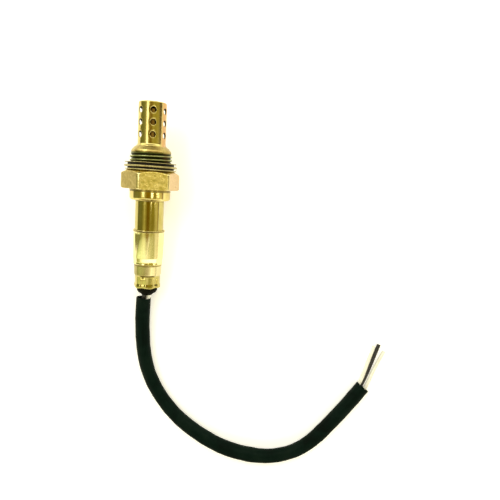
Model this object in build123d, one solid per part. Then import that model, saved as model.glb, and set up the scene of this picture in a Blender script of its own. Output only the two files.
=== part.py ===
from build123d import *
import os
from math import sin, cos, tan, radians, degrees, pi, atan2, sqrt

# Heated three-wire oxygen sensor, universal type with cut wire ends.
# Frame: +Z up, floor at z = 0, origin under the middle of the sensor body
# (the loom and the wires are not counted). The sensor lies on one corner of
# its hexagon and on its crimped tail, tip towards +Y and a little raised.
#
# All turned pieces are drawn in the sensor's own frame first: local Z is the
# sensor axis towards the tip, local Z = 0 is half way along the hexagon,
# local X is the upper side and local Y points to the row's right (+X).

# ---------------------------------------------------------------- dimensions
HEX_AF = 22.0          # hexagon across flats
HEX_FRONT = 4.45       # seat face, local z
HEX_BACK = -3.55
HEX_CHAMFER = 30.0     # degrees
HEX_FACE_AZ = 19.3     # direction of the uppermost flat, degrees from local X
THREAD_R = 9.0         # M18 x 1.5, major radius
THREAD_END = 11.35
THREAD_START = 7.75    # end of the relief groove that holds the gasket
THREAD_CHAMFER = 0.5
RELIEF_R = 8.2
NOSE_R = 8.45          # rolled nose in front of the thread
NOSE_END = 14.4
NOSE_END_R = 6.75
NOSE_BORE_R = 6.5
SHELL_CAVITY_R = 6.6   # rear cavity that holds element and packing
SHELL_BORE_R = 4.7     # bore in front of the inner ledge
LEDGE = 5.0
COLLAR_R = 8.7         # rolled-over collar behind the hexagon
COLLAR_END = -8.3
COLLAR_BORE_R = 6.2
COLLAR_ROUND = 1.25
UNDER_LIP = -6.9       # inner side of the rolled-over lip

SHIELD_R = 5.9         # outer protection tube
SHIELD_T = 0.4
SHIELD_TIP = 32.6
SHIELD_TIP_ROUND = 1.2
HOLE_R = 1.25
HOLE_ROWS = (29.1, 24.15, 19.2)
HOLE_COLUMNS = 6
HOLE_AZ = 16.0
INNER_SHIELD_R = 4.3
INNER_SHIELD_T = 0.3
INNER_SHIELD_TIP = 30.4
INNER_HOLE_R = 0.9

GASKET_R = 11.25
GASKET_BORE_R = 8.75   # less than the thread, so it can't fall off
GASKET_END = 7.7
GASKET_FOLD_R = 9.9

ELEMENT_TIP = 27.5
ELEMENT_TIP_R = 2.5
ELEMENT_COLLAR_R = 6.1
ELEMENT_COLLAR = (0.9, 4.4)
ELEMENT_REAR_R = 3.5
ELEMENT_REAR = -9.5
ELEMENT_BORE_R = 1.75
HEATER_R = 1.45
HEATER = (-26.0, 25.0)

SLEEVE_R = 6.15        # upper sleeve
SLEEVE_T = 0.45
SLEEVE_STEP = (-23.0, -24.0)
TAIL_R = 6.0
TAIL_END = -40.7
CRIMP_R = 5.55
CRIMP_BORE_R = 4.9
CRIMP_GROOVES = 6
CRIMP_GROOVE_AZ = -8.0
CRIMP_GROOVE_W = 2.8
CRIMP_GROOVE_DEPTH = 0.3
LIP = (-44.9, -46.6)
LIP_R = 5.75

COVER_R = 6.6          # vent cover
COVER_T = 0.3
COVER = (-21.1, -36.2)
COVER_RIM_R = 6.85
VENT_R = 1.0
VENT_Z = -30.0
MEMBRANE = (-26.5, -33.5)

HOLDER_R = 5.45        # ceramic terminal holder
HOLDER = (-9.9, -33.5)
GROMMET = (-39.4, -50.275)
GROMMET_NOSE_R = 2.4

WIRE_PATTERN_R = 1.2   # the three wires round the axis
WIRE_AZ = {"signal": -55.0, "heater_a": 65.0, "heater_b": 185.0}
WIRE_R = 0.85
CORE_R = 0.45
BARREL = (-36.0, -40.0)
WIRE_START = -40.15

LOOM_R = 3.2
LOOM_BORE_R = 2.85
LOOM_MOUTH = -51.35    # local z of the loom's open end
LOOM_SIDE = -0.65      # loom centre beside the sensor axis there
LOOM_P1 = -62.0        # where the loom has come down to the floor

# ---------------------------------------------------------------- placement
TILT = 8.725           # tip raised, degrees
SWING = 3.83           # tip leans to +X, degrees
PLACE = (0.008, 8.509, 12.796)   # local origin in the row frame

# loom route: control points in the row frame, on the floor from the third on
FLOOR_Z = LOOM_R
LOOM_FLOOR = [
    (-4.49, -70.74), (1.14, -86.01), (13.20, -100.59), (31.12, -111.44),
    (48.49, -115.13), (61.44, -113.23), (70.30, -108.13), (78.69, -100.16),
    (87.22, -91.03), (93.99, -83.22),
]
# from the loom's far mouth the wires come down to the floor and end there
WIRE_ENDS = {
    "signal": [(94.07, -83.29, 2.0), (97.93, -74.83, 0.95), (102.03, -64.63, 0.86)],
    "heater_a": [(92.82, -82.20, 2.65), (96.29, -74.14, 1.0), (99.75, -65.35, 0.86)],
    "heater_b": [(95.31, -84.37, 2.6), (99.68, -75.57, 1.0), (104.27, -67.73, 0.86)],
}

# ------------------------------------------------------------------- helpers
os.makedirs("parts", exist_ok=True)


def turned(points):
    """A solid of revolution about local Z from (r, z, fillet) corners."""
    line = FilletPolyline(
        *[(p[0], p[1]) for p in points],
        radius=[p[2] if len(p) > 2 else 0 for p in points],
        close=True,
    )
    return revolve(Plane.XZ * make_face(line), axis=Axis.Z)


def tube(r_out, r_in, z0, z1, end_round=0.0):
    lo, hi = min(z0, z1), max(z0, z1)
    return turned([
        (r_in, lo), (r_out, lo, end_round), (r_out, hi, end_round), (r_in, hi)
    ])


def rod(r, z0, z1):
    lo, hi = min(z0, z1), max(z0, z1)
    return Pos(0, 0, lo) * Cylinder(
        r, hi - lo, align=(Align.CENTER, Align.CENTER, Align.MIN))


def polar(r, az):
    a = radians(az)
    return r * cos(a), r * sin(a)


def radial_hole(r, az, z, reach, start=0.0):
    """A round cutter that points outward from the axis."""
    return Rot(0, 0, az) * Pos(start, 0, z) * Rot(0, 90, 0) * Cylinder(
        r, reach, align=(Align.CENTER, Align.CENTER, Align.MIN))


nodes = {}

# --------------------------------------------------------------------- shell
# One turned steel piece: rolled nose, thread, hexagon and rolled-over collar.
outer = turned([
    (0, NOSE_END), (NOSE_END_R, NOSE_END), (7.35, NOSE_END - 0.5, 0.4),
    (8.25, NOSE_END - 1.6, 0.6), (NOSE_R, 12.2, 0.0), (8.2, 12.0), (8.2, 11.8),
    (NOSE_R, THREAD_END), (THREAD_R, THREAD_END - THREAD_CHAMFER),
    (THREAD_R, THREAD_START), (RELIEF_R, THREAD_START - 0.3),
    (RELIEF_R, HEX_BACK), (0, HEX_BACK),
])
hexagon = Pos(0, 0, HEX_BACK) * Rot(0, 0, HEX_FACE_AZ + 30) * extrude(
    RegularPolygon(HEX_AF / 2, 6, major_radius=False, rotation=0),
    HEX_FRONT - HEX_BACK)
corner = HEX_AF / 2 / cos(radians(30))
drop = tan(radians(HEX_CHAMFER))
front_r, back_r = 9.8, 11.75
# The two chamfers are very slightly crowned, as the turning tool leaves them.
far_r = corner + 1
front_low = HEX_FRONT - (far_r - front_r) * drop
back_high = HEX_BACK + (far_r - back_r) * drop
crown = 0.02
chamfered = revolve(Plane.XZ * make_face([
    Line((0, HEX_BACK), (0, HEX_FRONT)),
    Line((0, HEX_FRONT), (front_r, HEX_FRONT)),
    ThreePointArc((front_r, HEX_FRONT),
                  ((front_r + far_r) / 2 + crown, (HEX_FRONT + front_low) / 2 + crown),
                  (far_r, front_low)),
    Line((far_r, front_low), (far_r, back_high)),
    ThreePointArc((far_r, back_high),
                  ((back_r + far_r) / 2 + crown, (HEX_BACK + back_high) / 2 - crown),
                  (back_r, HEX_BACK)),
    Line((back_r, HEX_BACK), (0, HEX_BACK)),
]), axis=Axis.Z)
hexagon = hexagon & chamfered
collar = turned([
    (0, HEX_BACK + 0.5), (COLLAR_R, HEX_BACK + 0.5),
    (COLLAR_R, COLLAR_END, COLLAR_ROUND), (0, COLLAR_END),
])
shell = outer + hexagon + collar
shell -= turned([
    (0, NOSE_END + 1), (NOSE_BORE_R, NOSE_END + 1), (NOSE_BORE_R, 13.35),
    (7.25, 13.35), (7.25, 12.6), (SHELL_BORE_R, 12.6),
    (SHELL_BORE_R, LEDGE), (SHELL_CAVITY_R, LEDGE),
    (SHELL_CAVITY_R, UNDER_LIP), (COLLAR_BORE_R, UNDER_LIP - 0.35),
    (COLLAR_BORE_R, COLLAR_END - 1), (0, COLLAR_END - 1),
])
nodes["shell"] = shell

# -------------------------------------------------------------------- gasket
# Crush ring folded from sheet: a middle roll between two lips, with a deep
# fold on each side of it.
g = GASKET_FOLD_R
nodes["gasket"] = turned([
    (GASKET_BORE_R, HEX_FRONT), (10.95, HEX_FRONT, 0.15),
    (10.95, 4.9, 0.15), (g, 4.9), (g, 5.62), (GASKET_R, 5.62, 0.36),
    (GASKET_R, 6.46, 0.36), (g, 6.46), (g, 7.4), (11.0, 7.4, 0.13),
    (11.0, GASKET_END, 0.13), (GASKET_BORE_R, GASKET_END, 0.3),
])

# --------------------------------------------------------- protection tubes
t = SHIELD_T
shield = turned([
    (0, SHIELD_TIP), (SHIELD_R, SHIELD_TIP, SHIELD_TIP_ROUND),
    (SHIELD_R, NOSE_END + 1.0, 0.6), (6.45, NOSE_END + 0.05, 0.35),
    (6.45, 13.3), (7.2, 13.3), (7.2, 12.95), (6.05, 12.95),
    (6.05, NOSE_END - 0.1, 0.3), (SHIELD_R - t, NOSE_END + 0.9, 0.4),
    (SHIELD_R - t, SHIELD_TIP - t, SHIELD_TIP_ROUND - t), (0, SHIELD_TIP - t),
])
for z in HOLE_ROWS:
    for k in range(HOLE_COLUMNS):
        shield -= radial_hole(HOLE_R, HOLE_AZ + 360 / HOLE_COLUMNS * k, z, 4, 4)
nodes["outer_shield"] = shield

t = INNER_SHIELD_T
inner = turned([
    (0, INNER_SHIELD_TIP), (INNER_SHIELD_R, INNER_SHIELD_TIP, 0.8),
    (INNER_SHIELD_R, 13.4, 0.35), (5.9, 12.93, 0.0), (7.2, 12.93), (7.2, 12.62),
    (4.75, 12.62, 0.3), (INNER_SHIELD_R - t, 13.2, 0.3),
    (INNER_SHIELD_R - t, INNER_SHIELD_TIP - t, 0.5), (0, INNER_SHIELD_TIP - t),
])
for z in (26.6, 16.8):
    for k in range(4):
        inner -= radial_hole(INNER_HOLE_R, HOLE_AZ + 45 + 90 * k, z, 3, 2.5)
nodes["inner_shield"] = inner

# ------------------------------------------------------------ sensing element
c0, c1 = ELEMENT_COLLAR
element = turned([
    (0, ELEMENT_TIP), (ELEMENT_TIP_R, ELEMENT_TIP, 1.9),
    (ELEMENT_TIP_R + 0.55, 9.0), (ELEMENT_TIP_R + 0.7, c1 + 0.8, 0.4),
    (4.4, c1, 0.2), (ELEMENT_COLLAR_R, c1, 0.35), (ELEMENT_COLLAR_R, c0, 0.35),
    (ELEMENT_REAR_R, c0 - 1.2, 0.4), (ELEMENT_REAR_R, ELEMENT_REAR),
    (ELEMENT_BORE_R, ELEMENT_REAR), (ELEMENT_BORE_R, ELEMENT_TIP - 2.0, 1.2),
    (0, ELEMENT_TIP - 2.0),
])
element -= tube(2.45, 0.5, ELEMENT_REAR - 1, -4.0)
nodes["sensing_element"] = element
nodes["heater_rod"] = turned([
    (0, HEATER[1]), (HEATER_R, HEATER[1], 0.4), (HEATER_R, HEATER[0], 0.3),
    (0, HEATER[0]),
])
nodes["seal_washer"] = tube(6.5, 4.75, c1 + 0.02, LEDGE, 0.1)

# ---------------------------------------------------------- packing in shell
nodes["talc_packing"] = tube(6.55, 3.55, -0.45, -2.4)
nodes["steatite_bushing"] = turned([
    (3.58, -2.45), (6.5, -2.45), (6.5, -5.6), (3.58, -5.6),
])
nodes["packing_ring"] = tube(6.5, 4.9, -5.65, -6.35, 0.1)

# -------------------------------------------------------------- upper sleeve
s0, s1 = SLEEVE_STEP
t = SLEEVE_T
sleeve = turned([
    (SLEEVE_R - t, -6.4), (6.5, -6.4), (6.5, -6.85), (SLEEVE_R, -7.1, 0.1),
    (SLEEVE_R, s0, 0.3), (TAIL_R, s1, 0.3), (TAIL_R, TAIL_END, 0.35),
    (CRIMP_R, TAIL_END - 0.8, 0.35), (CRIMP_R, LIP[0] + 0.1, 0.2),
    (LIP_R, LIP[0] - 0.35, 0.3), (LIP_R, LIP[1], 0.45), (4.75, LIP[1], 0.0),
    (4.75, LIP[1] + 0.45, 0.0), (CRIMP_BORE_R, LIP[1] + 0.7),
    (CRIMP_BORE_R, TAIL_END - 0.9, 0.3), (TAIL_R - t, TAIL_END + 0.1, 0.3),
    (TAIL_R - t, s1, 0.2), (SLEEVE_R - t, s0, 0.2),
])
for k in range(CRIMP_GROOVES):
    az = CRIMP_GROOVE_AZ + 360 / CRIMP_GROOVES * k
    floor = CRIMP_R - CRIMP_GROOVE_DEPTH
    groove = Box(3, CRIMP_GROOVE_W, 8, align=(Align.MIN, Align.CENTER, Align.MAX))
    groove += Rot(0, 90, 0) * Cylinder(
        CRIMP_GROOVE_W / 2, 3, align=(Align.CENTER, Align.CENTER, Align.MIN))
    sleeve -= Rot(0, 0, az) * Pos(floor, 0, -43.1) * groove
for k in range(4):
    sleeve -= radial_hole(VENT_R, 45 + 90 * k, VENT_Z, 3, 4.5)
nodes["upper_sleeve"] = sleeve

# ---------------------------------------------------------------- vent cover
t = COVER_T
cover = turned([
    (SLEEVE_R + 0.35, COVER[0]), (COVER_RIM_R, COVER[0], 0.12),
    (COVER_RIM_R, COVER[0] - 0.45, 0.12), (COVER_R, COVER[0] - 0.75, 0.2),
    (COVER_R, COVER[1] + 1.1, 0.7), (TAIL_R + 0.3, COVER[1] + 0.1, 0.15),
    (TAIL_R + 0.02, COVER[1]), (TAIL_R + 0.02, COVER[1] + 0.45),
    (COVER_R - t, COVER[1] + 1.35, 0.3),
    (COVER_R - t, COVER[0] - 0.6, 0.2),
])
nodes["vent_cover"] = cover
nodes["vent_membrane"] = tube(6.25, 6.03, *MEMBRANE)

# ----------------------------------------------------------- terminal holder
h0, h1 = HOLDER
holder = turned([
    (1.7, h0), (HOLDER_R, h0, 0.4), (HOLDER_R, h1, 0.3), (3.6, h1),
    (3.6, -27.5), (1.7, -27.5),
])
for name, az in WIRE_AZ.items():
    holder -= Rot(0, 0, az) * Pos(1.5, 0, (h0 + h1) / 2) * Box(
        2.1, 1.7, h0 - h1 + 2, align=(Align.MIN, Align.CENTER, Align.CENTER))
nodes["terminal_holder"] = holder
# Cone spring that pushes the holder back against the grommet.
nodes["holder_spring"] = turned([
    (3.75, -6.45), (4.4, -6.45), (5.6, -9.3), (5.6, -9.75), (5.0, -9.75),
    (3.75, -6.9),
])


# ------------------------------------------------------------------ terminals
def strip(az, r0, z0, z1, r_mid, z_jog):
    """A stamped strip along the axis with a jog inward to its barrel."""
    w, th = 1.3, 0.3
    a = Pos(r_mid, 0, (z0 + z_jog) / 2) * Box(th, w, abs(z0 - z_jog))
    b = Pos((r_mid + r0) / 2, 0, z_jog) * Box(r_mid - r0 + th, w, th)
    c = Pos(r0, 0, (z_jog + z1) / 2) * Box(th, w, abs(z_jog - z1))
    return Rot(0, 0, az) * (a + b + c)


def barrel(az):
    x, y = polar(WIRE_PATTERN_R, az)
    return Pos(x, y, 0) * tube(0.84, CORE_R + 0.01, *BARREL)


jog = -31.0
r_strip = 2.75
az = WIRE_AZ["signal"]
signal = tube(2.4, 2.15, -4.2, ELEMENT_REAR, 0) + tube(
    3.3, 2.15, ELEMENT_REAR, ELEMENT_REAR - 0.3)
signal += strip(az, WIRE_PATTERN_R, ELEMENT_REAR - 0.1, BARREL[0],
                r_strip, jog)
signal += barrel(az)
nodes["signal_terminal"] = signal
for name in ("heater_a", "heater_b"):
    az = WIRE_AZ[name]
    clip = tube(HEATER_R + 0.22, HEATER_R, -20.0, -25.0)
    sector = Rot(0, 0, az) * Pos(1.2, 0, -22.5) * Box(2.4, 2.1, 6)
    clip = clip & sector
    arm = Rot(0, 0, az) * Pos((HEATER_R + r_strip) / 2 + 0.1, 0, -24.6) * Box(
        r_strip - HEATER_R, 1.3, 0.3)
    term = clip + arm + strip(az, WIRE_PATTERN_R, -24.5, BARREL[0],
                              r_strip, jog) + barrel(az)
    nodes[name + "_terminal"] = term

# -------------------------------------------------------------------- grommet
g0, g1 = GROMMET
grommet = turned([
    (0, g0), (TAIL_R - SLEEVE_T - 0.03, g0, 0.3),
    (TAIL_R - SLEEVE_T - 0.03, TAIL_END + 0.15, 0.3),
    (CRIMP_BORE_R - 0.02, TAIL_END - 0.85, 0.3), (CRIMP_BORE_R - 0.02, LIP[1] + 0.72),
    (4.72, LIP[1] + 0.5), (4.72, LIP[1] - 0.1, 0.1), (4.5, LIP[1] - 0.3, 0.1),
    (4.45, -48.1, 0.6), (3.9, -49.05, 0.5), (2.6, -49.85, 0.4), (GROMMET_NOSE_R, g1, 0.2), (0, g1),
])
for az in WIRE_AZ.values():
    x, y = polar(WIRE_PATTERN_R, az)
    grommet -= Pos(x, y, 0) * rod(WIRE_R + 0.01, g0 + 1, g1 - 1)
nodes["grommet"] = grommet

# ------------------------------------------------------------ row frame place
a, s = radians(TILT), radians(SWING)
axis = Vector(sin(s) * cos(a), cos(s) * cos(a), sin(a))
side = Vector(cos(s), -sin(s), 0)
up = side.cross(axis)
origin = Vector(*PLACE)
plane = Plane(origin=origin, x_dir=up, z_dir=axis)
for name in list(nodes):
    nodes[name] = plane.location * nodes[name]


def on_axis(z, sideways=0.0, upward=0.0):
    """A point of the sensor's frame in the row frame."""
    return origin + axis * z + side * sideways + up * upward


# ---------------------------------------------------------------------- loom
loom_pts = [
    on_axis(LOOM_MOUTH, LOOM_SIDE),
    on_axis(LOOM_P1, LOOM_SIDE),
] + [Vector(x, y, FLOOR_Z) for x, y in LOOM_FLOOR]


def radii(pts):
    out = []
    for p, q, r in zip(pts, pts[1:], pts[2:]):
        one, two = q - p, r - q
        half = radians(one.get_angle(two)) / 2
        out.append(0.45 * min(one.length, two.length) / tan(half))
    return out


def swept(name, pts, r_out, r_in=0.0):
    rr = radii(pts)
    path = FilletPolyline(*[tuple(p) for p in pts], radius=rr)
    start = Plane(origin=path @ 0, z_dir=path % 0)
    section = Circle(r_out)
    if r_in:
        section -= Circle(r_in)
    solid = sweep(start * section, path=path)
    area = pi * (r_out ** 2 - r_in ** 2)
    print(f"{name}: path {path.length:.2f} mm, volume {solid.volume:.2f}, "
          f"section x length {area * path.length:.2f}")
    print("  runs", [round((b - a).length, 1) for a, b in zip(pts, pts[1:])])
    print("  radii", [round(x, 1) for x in rr])
    return solid


nodes["loom"] = swept("loom", loom_pts, LOOM_R, LOOM_BORE_R)

# --------------------------------------------------------------------- wires
# Where each wire lies in the loom at its corners: (to the left, up) in mm.
LAY = {
    "signal": [(-0.1, 0.85), (0, 0.75), (0, 0.4), (0, 0.0), (0, -0.5), (0, -0.9),
               (0, -1.0), (0, -1.0), (0, -1.0)],
    "heater_a": [(1.7, 0.15), (1.7, -0.3), (1.75, -0.6), (1.75, -0.6),
                 (1.75, -0.6), (1.75, -0.6), (1.75, -0.6), (1.75, -0.6),
                 (1.75, -0.6)],
    "heater_b": [(-0.3, -1.5), (-1.2, -1.2), (-1.75, -0.6), (-1.75, -0.6),
                 (-1.75, -0.6), (-1.75, -0.6), (-1.75, -0.6), (-1.75, -0.6),
                 (-1.75, -0.6)],
}


def laid(index, left, upward):
    """A point beside the loom's corner, on the mitre of its two runs."""
    p, q, r = loom_pts[index - 1], loom_pts[index], loom_pts[index + 1]
    one, two = (q - p), (r - q)
    one, two = Vector(one.X, one.Y, 0).normalized(), Vector(two.X, two.Y, 0).normalized()
    along = (one + two).normalized()
    mitre = 1 / cos(radians(one.get_angle(two)) / 2)
    return q + Vector(-along.Y, along.X, 0) * (left * mitre) + Vector(0, 0, upward)


def wire_route(key, first):
    x, y = polar(WIRE_PATTERN_R, WIRE_AZ[key])
    pts = [on_axis(first, y, x), on_axis(LOOM_P1, y, x)]
    for i, (left, upward) in enumerate(LAY[key]):
        pts.append(laid(i + 2, left, upward))
    for px, py, pz in WIRE_ENDS[key]:
        pts.append(Vector(px, py, pz))
    return pts


for key in ("signal", "heater_a", "heater_b"):
    nodes[key + "_wire"] = swept(key + "_wire", wire_route(key, WIRE_START), WIRE_R, CORE_R)
    nodes[key + "_core"] = swept(key + "_core", wire_route(key, BARREL[0] - 0.05), CORE_R)

# -------------------------------------------------------------------- export
CORDS = ("loom", "signal_wire", "heater_a_wire", "heater_b_wire",
         "signal_core", "heater_a_core", "heater_b_core")
low = [1e9] * 3
high = [-1e9] * 3
for name, solid in nodes.items():
    if name in CORDS:
        continue
    b = solid.bounding_box()
    for i, (lo, hi) in enumerate(zip((b.min.X, b.min.Y, b.min.Z), (b.max.X, b.max.Y, b.max.Z))):
        low[i], high[i] = min(low[i], lo), max(high[i], hi)
print("sensor box", [round(v, 3) for v in low], [round(v, 3) for v in high],
      "middle", round((low[0] + high[0]) / 2, 3), round((low[1] + high[1]) / 2, 3))
for name in ("shell", "upper_sleeve", "loom"):
    print(name, "lowest", round(nodes[name].bounding_box().min.Z, 3))
for name, solid in nodes.items():
    export_step(solid, f"parts/{name}.step")
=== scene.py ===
import math

import bmesh
import bpy
import numpy as np
from mathutils import Matrix, Vector


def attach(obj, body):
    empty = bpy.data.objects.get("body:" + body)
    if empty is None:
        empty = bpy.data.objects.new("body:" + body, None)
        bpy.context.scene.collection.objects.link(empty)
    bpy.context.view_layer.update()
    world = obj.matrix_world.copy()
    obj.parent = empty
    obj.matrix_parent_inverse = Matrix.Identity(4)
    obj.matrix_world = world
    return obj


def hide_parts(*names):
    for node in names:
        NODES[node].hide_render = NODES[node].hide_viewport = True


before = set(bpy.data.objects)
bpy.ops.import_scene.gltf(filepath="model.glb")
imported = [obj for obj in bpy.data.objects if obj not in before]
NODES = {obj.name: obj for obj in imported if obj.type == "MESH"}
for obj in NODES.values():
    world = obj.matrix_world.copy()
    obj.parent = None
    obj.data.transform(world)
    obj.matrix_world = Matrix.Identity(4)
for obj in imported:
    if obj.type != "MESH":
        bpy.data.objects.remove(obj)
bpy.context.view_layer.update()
MM = 0.001

# ------------------------------------------------------------------ placement
# The sensor's own frame: local X is its upper side, local Y its right side,
# local Z its axis towards the tip. Sizes are in millimetres until placed.
TILT, SWING = math.radians(8.725), math.radians(3.83)
ORIGIN = np.array((0.008, 8.509, 12.796))
AXIS = np.array((math.sin(SWING) * math.cos(TILT),
                 math.cos(SWING) * math.cos(TILT), math.sin(TILT)))
SIDE = np.array((math.cos(SWING), -math.sin(SWING), 0.0))
UP = np.cross(SIDE, AXIS)


def placed(p):
    """Local millimetres to row metres."""
    p = np.asarray(p, float)
    return (ORIGIN + p[..., 0:1] * UP + p[..., 1:2] * SIDE + p[..., 2:3] * AXIS) * MM


def on_axis(z, sideways=0.0, upward=0.0):
    return ORIGIN + AXIS * z + SIDE * sideways + UP * upward


def ring(r, az, z):
    """Cylinder coordinates (arrays of equal shape, az in radians) to local."""
    r, az, z = np.broadcast_arrays(r, az, z)
    return np.stack([r * np.cos(az), r * np.sin(az), z], -1)


# --------------------------------------------------------------------- camera
cam = bpy.data.objects.new("camera", bpy.data.cameras.new("camera"))
bpy.context.scene.collection.objects.link(cam)
cam.location = (0.04297, -0.02133, 0.2071)
cam.rotation_euler = (0.0, 0.0, 0.0)
cam.data.sensor_fit = "HORIZONTAL"
cam.data.angle = 2 * math.atan(250 / 450)
cam.data.clip_start = 0.005
bpy.context.scene.camera = cam


# -------------------------------------------------------------- node helpers
class Nodes:
    """A material's node tree, built with short calls."""

    def __init__(self, name):
        self.mat = bpy.data.materials.new(name)
        self.mat.use_nodes = True
        self.tree = self.mat.node_tree
        self.tree.nodes.clear()
        self.out = self.node("ShaderNodeOutputMaterial")
        self.bsdf = self.node("ShaderNodeBsdfPrincipled")
        self.link(self.bsdf.outputs[0], self.out.inputs[0])
        self.bumped = None

    def node(self, kind, **props):
        n = self.tree.nodes.new(kind)
        for k, v in props.items():
            setattr(n, k, v)
        return n

    def link(self, a, b):
        self.tree.links.new(a, b)

    def put(self, socket, value):
        if isinstance(value, bpy.types.NodeSocket):
            self.link(value, socket)
        else:
            socket.default_value = value

    def local(self):
        """Coordinates in the sensor's own frame, in metres."""
        c = self.node("ShaderNodeTexCoord")
        m = self.node("ShaderNodeMapping", vector_type="TEXTURE")
        m.inputs["Location"].default_value = tuple(ORIGIN * MM)
        rot = Matrix((UP, SIDE, AXIS)).transposed()
        m.inputs["Rotation"].default_value = rot.to_euler()
        self.link(c.outputs["Object"], m.inputs["Vector"])
        return m.outputs[0]

    def plain(self):
        return self.node("ShaderNodeTexCoord").outputs["Object"]

    def scaled(self, vector, scale):
        m = self.node("ShaderNodeMapping")
        m.inputs["Scale"].default_value = scale
        self.link(vector, m.inputs["Vector"])
        return m.outputs[0]

    def noise(self, vector, scale, detail=4.0, rough=0.5, distortion=0.0):
        n = self.node("ShaderNodeTexNoise")
        n.inputs["Scale"].default_value = scale
        n.inputs["Detail"].default_value = detail
        n.inputs["Roughness"].default_value = rough
        n.inputs["Distortion"].default_value = distortion
        self.link(vector, n.inputs["Vector"])
        return n.outputs["Fac"]

    def ramp(self, fac, stops, mode="LINEAR"):
        n = self.node("ShaderNodeValToRGB")
        n.color_ramp.interpolation = mode
        el = n.color_ramp.elements
        while len(el) < len(stops):
            el.new(0.5)
        for e, (pos, col) in zip(el, stops):
            e.position = pos
            e.color = (*col, 1.0) if hasattr(col, "__len__") else (col, col, col, 1.0)
        self.link(fac, n.inputs["Fac"])
        return n.outputs["Color"]

    def between(self, fac, lo, hi, a, b):
        """fac from lo..hi to a..b, held at the ends."""
        n = self.node("ShaderNodeMapRange")
        for k, v in (("From Min", lo), ("From Max", hi), ("To Min", a), ("To Max", b)):
            n.inputs[k].default_value = v
        self.link(fac, n.inputs["Value"])
        return n.outputs["Result"]

    def math(self, op, a, b=0.0, clamp=False):
        n = self.node("ShaderNodeMath", operation=op, use_clamp=clamp)
        self.put(n.inputs[0], a)
        self.put(n.inputs[1], b)
        return n.outputs[0]

    def mix(self, fac, a, b, blend="MIX"):
        n = self.node("ShaderNodeMix", data_type="RGBA", blend_type=blend)
        self.put(n.inputs[0], fac)
        for s, v in ((n.inputs[6], a), (n.inputs[7], b)):
            self.put(s, (*v, 1.0) if isinstance(v, tuple) else v)
        return n.outputs[2]

    def split(self, vector):
        n = self.node("ShaderNodeSeparateXYZ")
        self.link(vector, n.inputs[0])
        return n.outputs

    def join(self, x, y, z):
        n = self.node("ShaderNodeCombineXYZ")
        for s, v in zip(n.inputs, (x, y, z)):
            self.put(s, v)
        return n.outputs[0]

    def bump(self, height, distance, strength=1.0):
        n = self.node("ShaderNodeBump")
        n.inputs["Distance"].default_value = distance
        n.inputs["Strength"].default_value = strength
        self.link(height, n.inputs["Height"])
        if self.bumped is not None:
            self.link(self.bumped, n.inputs["Normal"])
        self.bumped = n.outputs["Normal"]
        self.tree.links.new(self.bumped, self.bsdf.inputs["Normal"])

    def set(self, **sockets):
        names = {"color": "Base Color", "metallic": "Metallic", "rough": "Roughness",
                 "ior": "IOR", "specular": "Specular IOR Level", "coat": "Coat Weight",
                 "coat_rough": "Coat Roughness", "sheen": "Sheen Weight",
                 "sheen_rough": "Sheen Roughness", "anisotropic": "Anisotropic",
                 "subsurface": "Subsurface Weight"}
        for k, v in sockets.items():
            if isinstance(v, tuple) and len(v) == 3:
                v = (*v, 1.0)
            self.put(self.bsdf.inputs[names[k]], v)
        return self


# ------------------------------------------------------------------ materials
def turned_metal(name, light, dark, rough=(0.2, 0.32), rings=0.004, ring_scale=5200.0,
                 stain=(0.35, 0.62), stain_scale=190.0, grain=0.0, lengthwise=False, painted_side_light=None):
    """Machined or drawn metal: fine tool marks, uneven tarnish, smudged gloss."""
    n = Nodes(name)
    v = n.local()
    x, y, z = n.split(v)
    if lengthwise:
        marks = n.noise(n.scaled(v, (2600, 2600, 60)), 1.0, 3.0, 0.6)
    else:
        marks = n.noise(n.join(n.math("MULTIPLY", x, 60.0), n.math("MULTIPLY", y, 60.0),
                               n.math("MULTIPLY", z, ring_scale)), 1.0, 3.0, 0.65)
    cloud = n.noise(v, stain_scale, 5.0, 0.55, 0.4)
    fine = n.noise(v, stain_scale * 9, 3.0, 0.6)
    body = n.ramp(cloud, [(stain[0], dark), (stain[1], light)])
    if painted_side_light:                      # painted reflection: a tint that fades in from one side, standing for the light that side reflects
        edge = n.math("ADD", y, n.math("MULTIPLY", cloud, 0.0010))
        body = n.mix(n.between(edge, painted_side_light[0], painted_side_light[1], 0.0, painted_side_light[2]), body, painted_side_light[3])
    streak = n.between(marks, 0.35, 0.65, 0.90, 1.06)
    n.set(color=n.mix(1.0, body, n.ramp(streak, [(0.0, 0.0), (1.0, 1.0)]), "MULTIPLY"),
          metallic=1.0,
          rough=n.math("ADD", n.between(cloud, 0.3, 0.7, rough[1], rough[0]),
                       n.between(fine, 0.3, 0.7, -0.03, 0.03)))
    n.bump(marks, rings * MM * 3)
    if grain:
        n.bump(n.noise(v, 1500.0, 4.0, 0.6), grain * MM)
        n.bump(n.noise(v, 480.0, 3.0, 0.55), grain * 2.2 * MM)
    return n.mat


def plain_metal(name, light, dark, rough):
    n = Nodes(name)
    v = n.local()
    cloud = n.noise(v, 300.0, 4.0)
    n.set(color=n.ramp(cloud, [(0.35, dark), (0.65, light)]), metallic=1.0,
          rough=n.between(cloud, 0.3, 0.7, rough + 0.06, rough - 0.04))
    n.bump(n.noise(v, 2500.0, 3.0), 0.004 * MM)
    return n.mat


def plain_stuff(name, light, dark, rough, bump=0.006, scale=1800.0, **more):
    n = Nodes(name)
    v = n.local()
    cloud = n.noise(v, 260.0, 5.0)
    n.set(color=n.ramp(cloud, [(0.35, dark), (0.65, light)]),
          rough=n.between(cloud, 0.3, 0.7, rough + 0.05, rough - 0.05), **more)
    n.bump(n.noise(v, scale, 4.0), bump * MM)
    return n.mat


M = {}
M["nose"] = turned_metal("nose_metal", (0.58, 0.48, 0.17), (0.38, 0.27, 0.08),
                         rough=(0.22, 0.34), rings=0.006)


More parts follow.
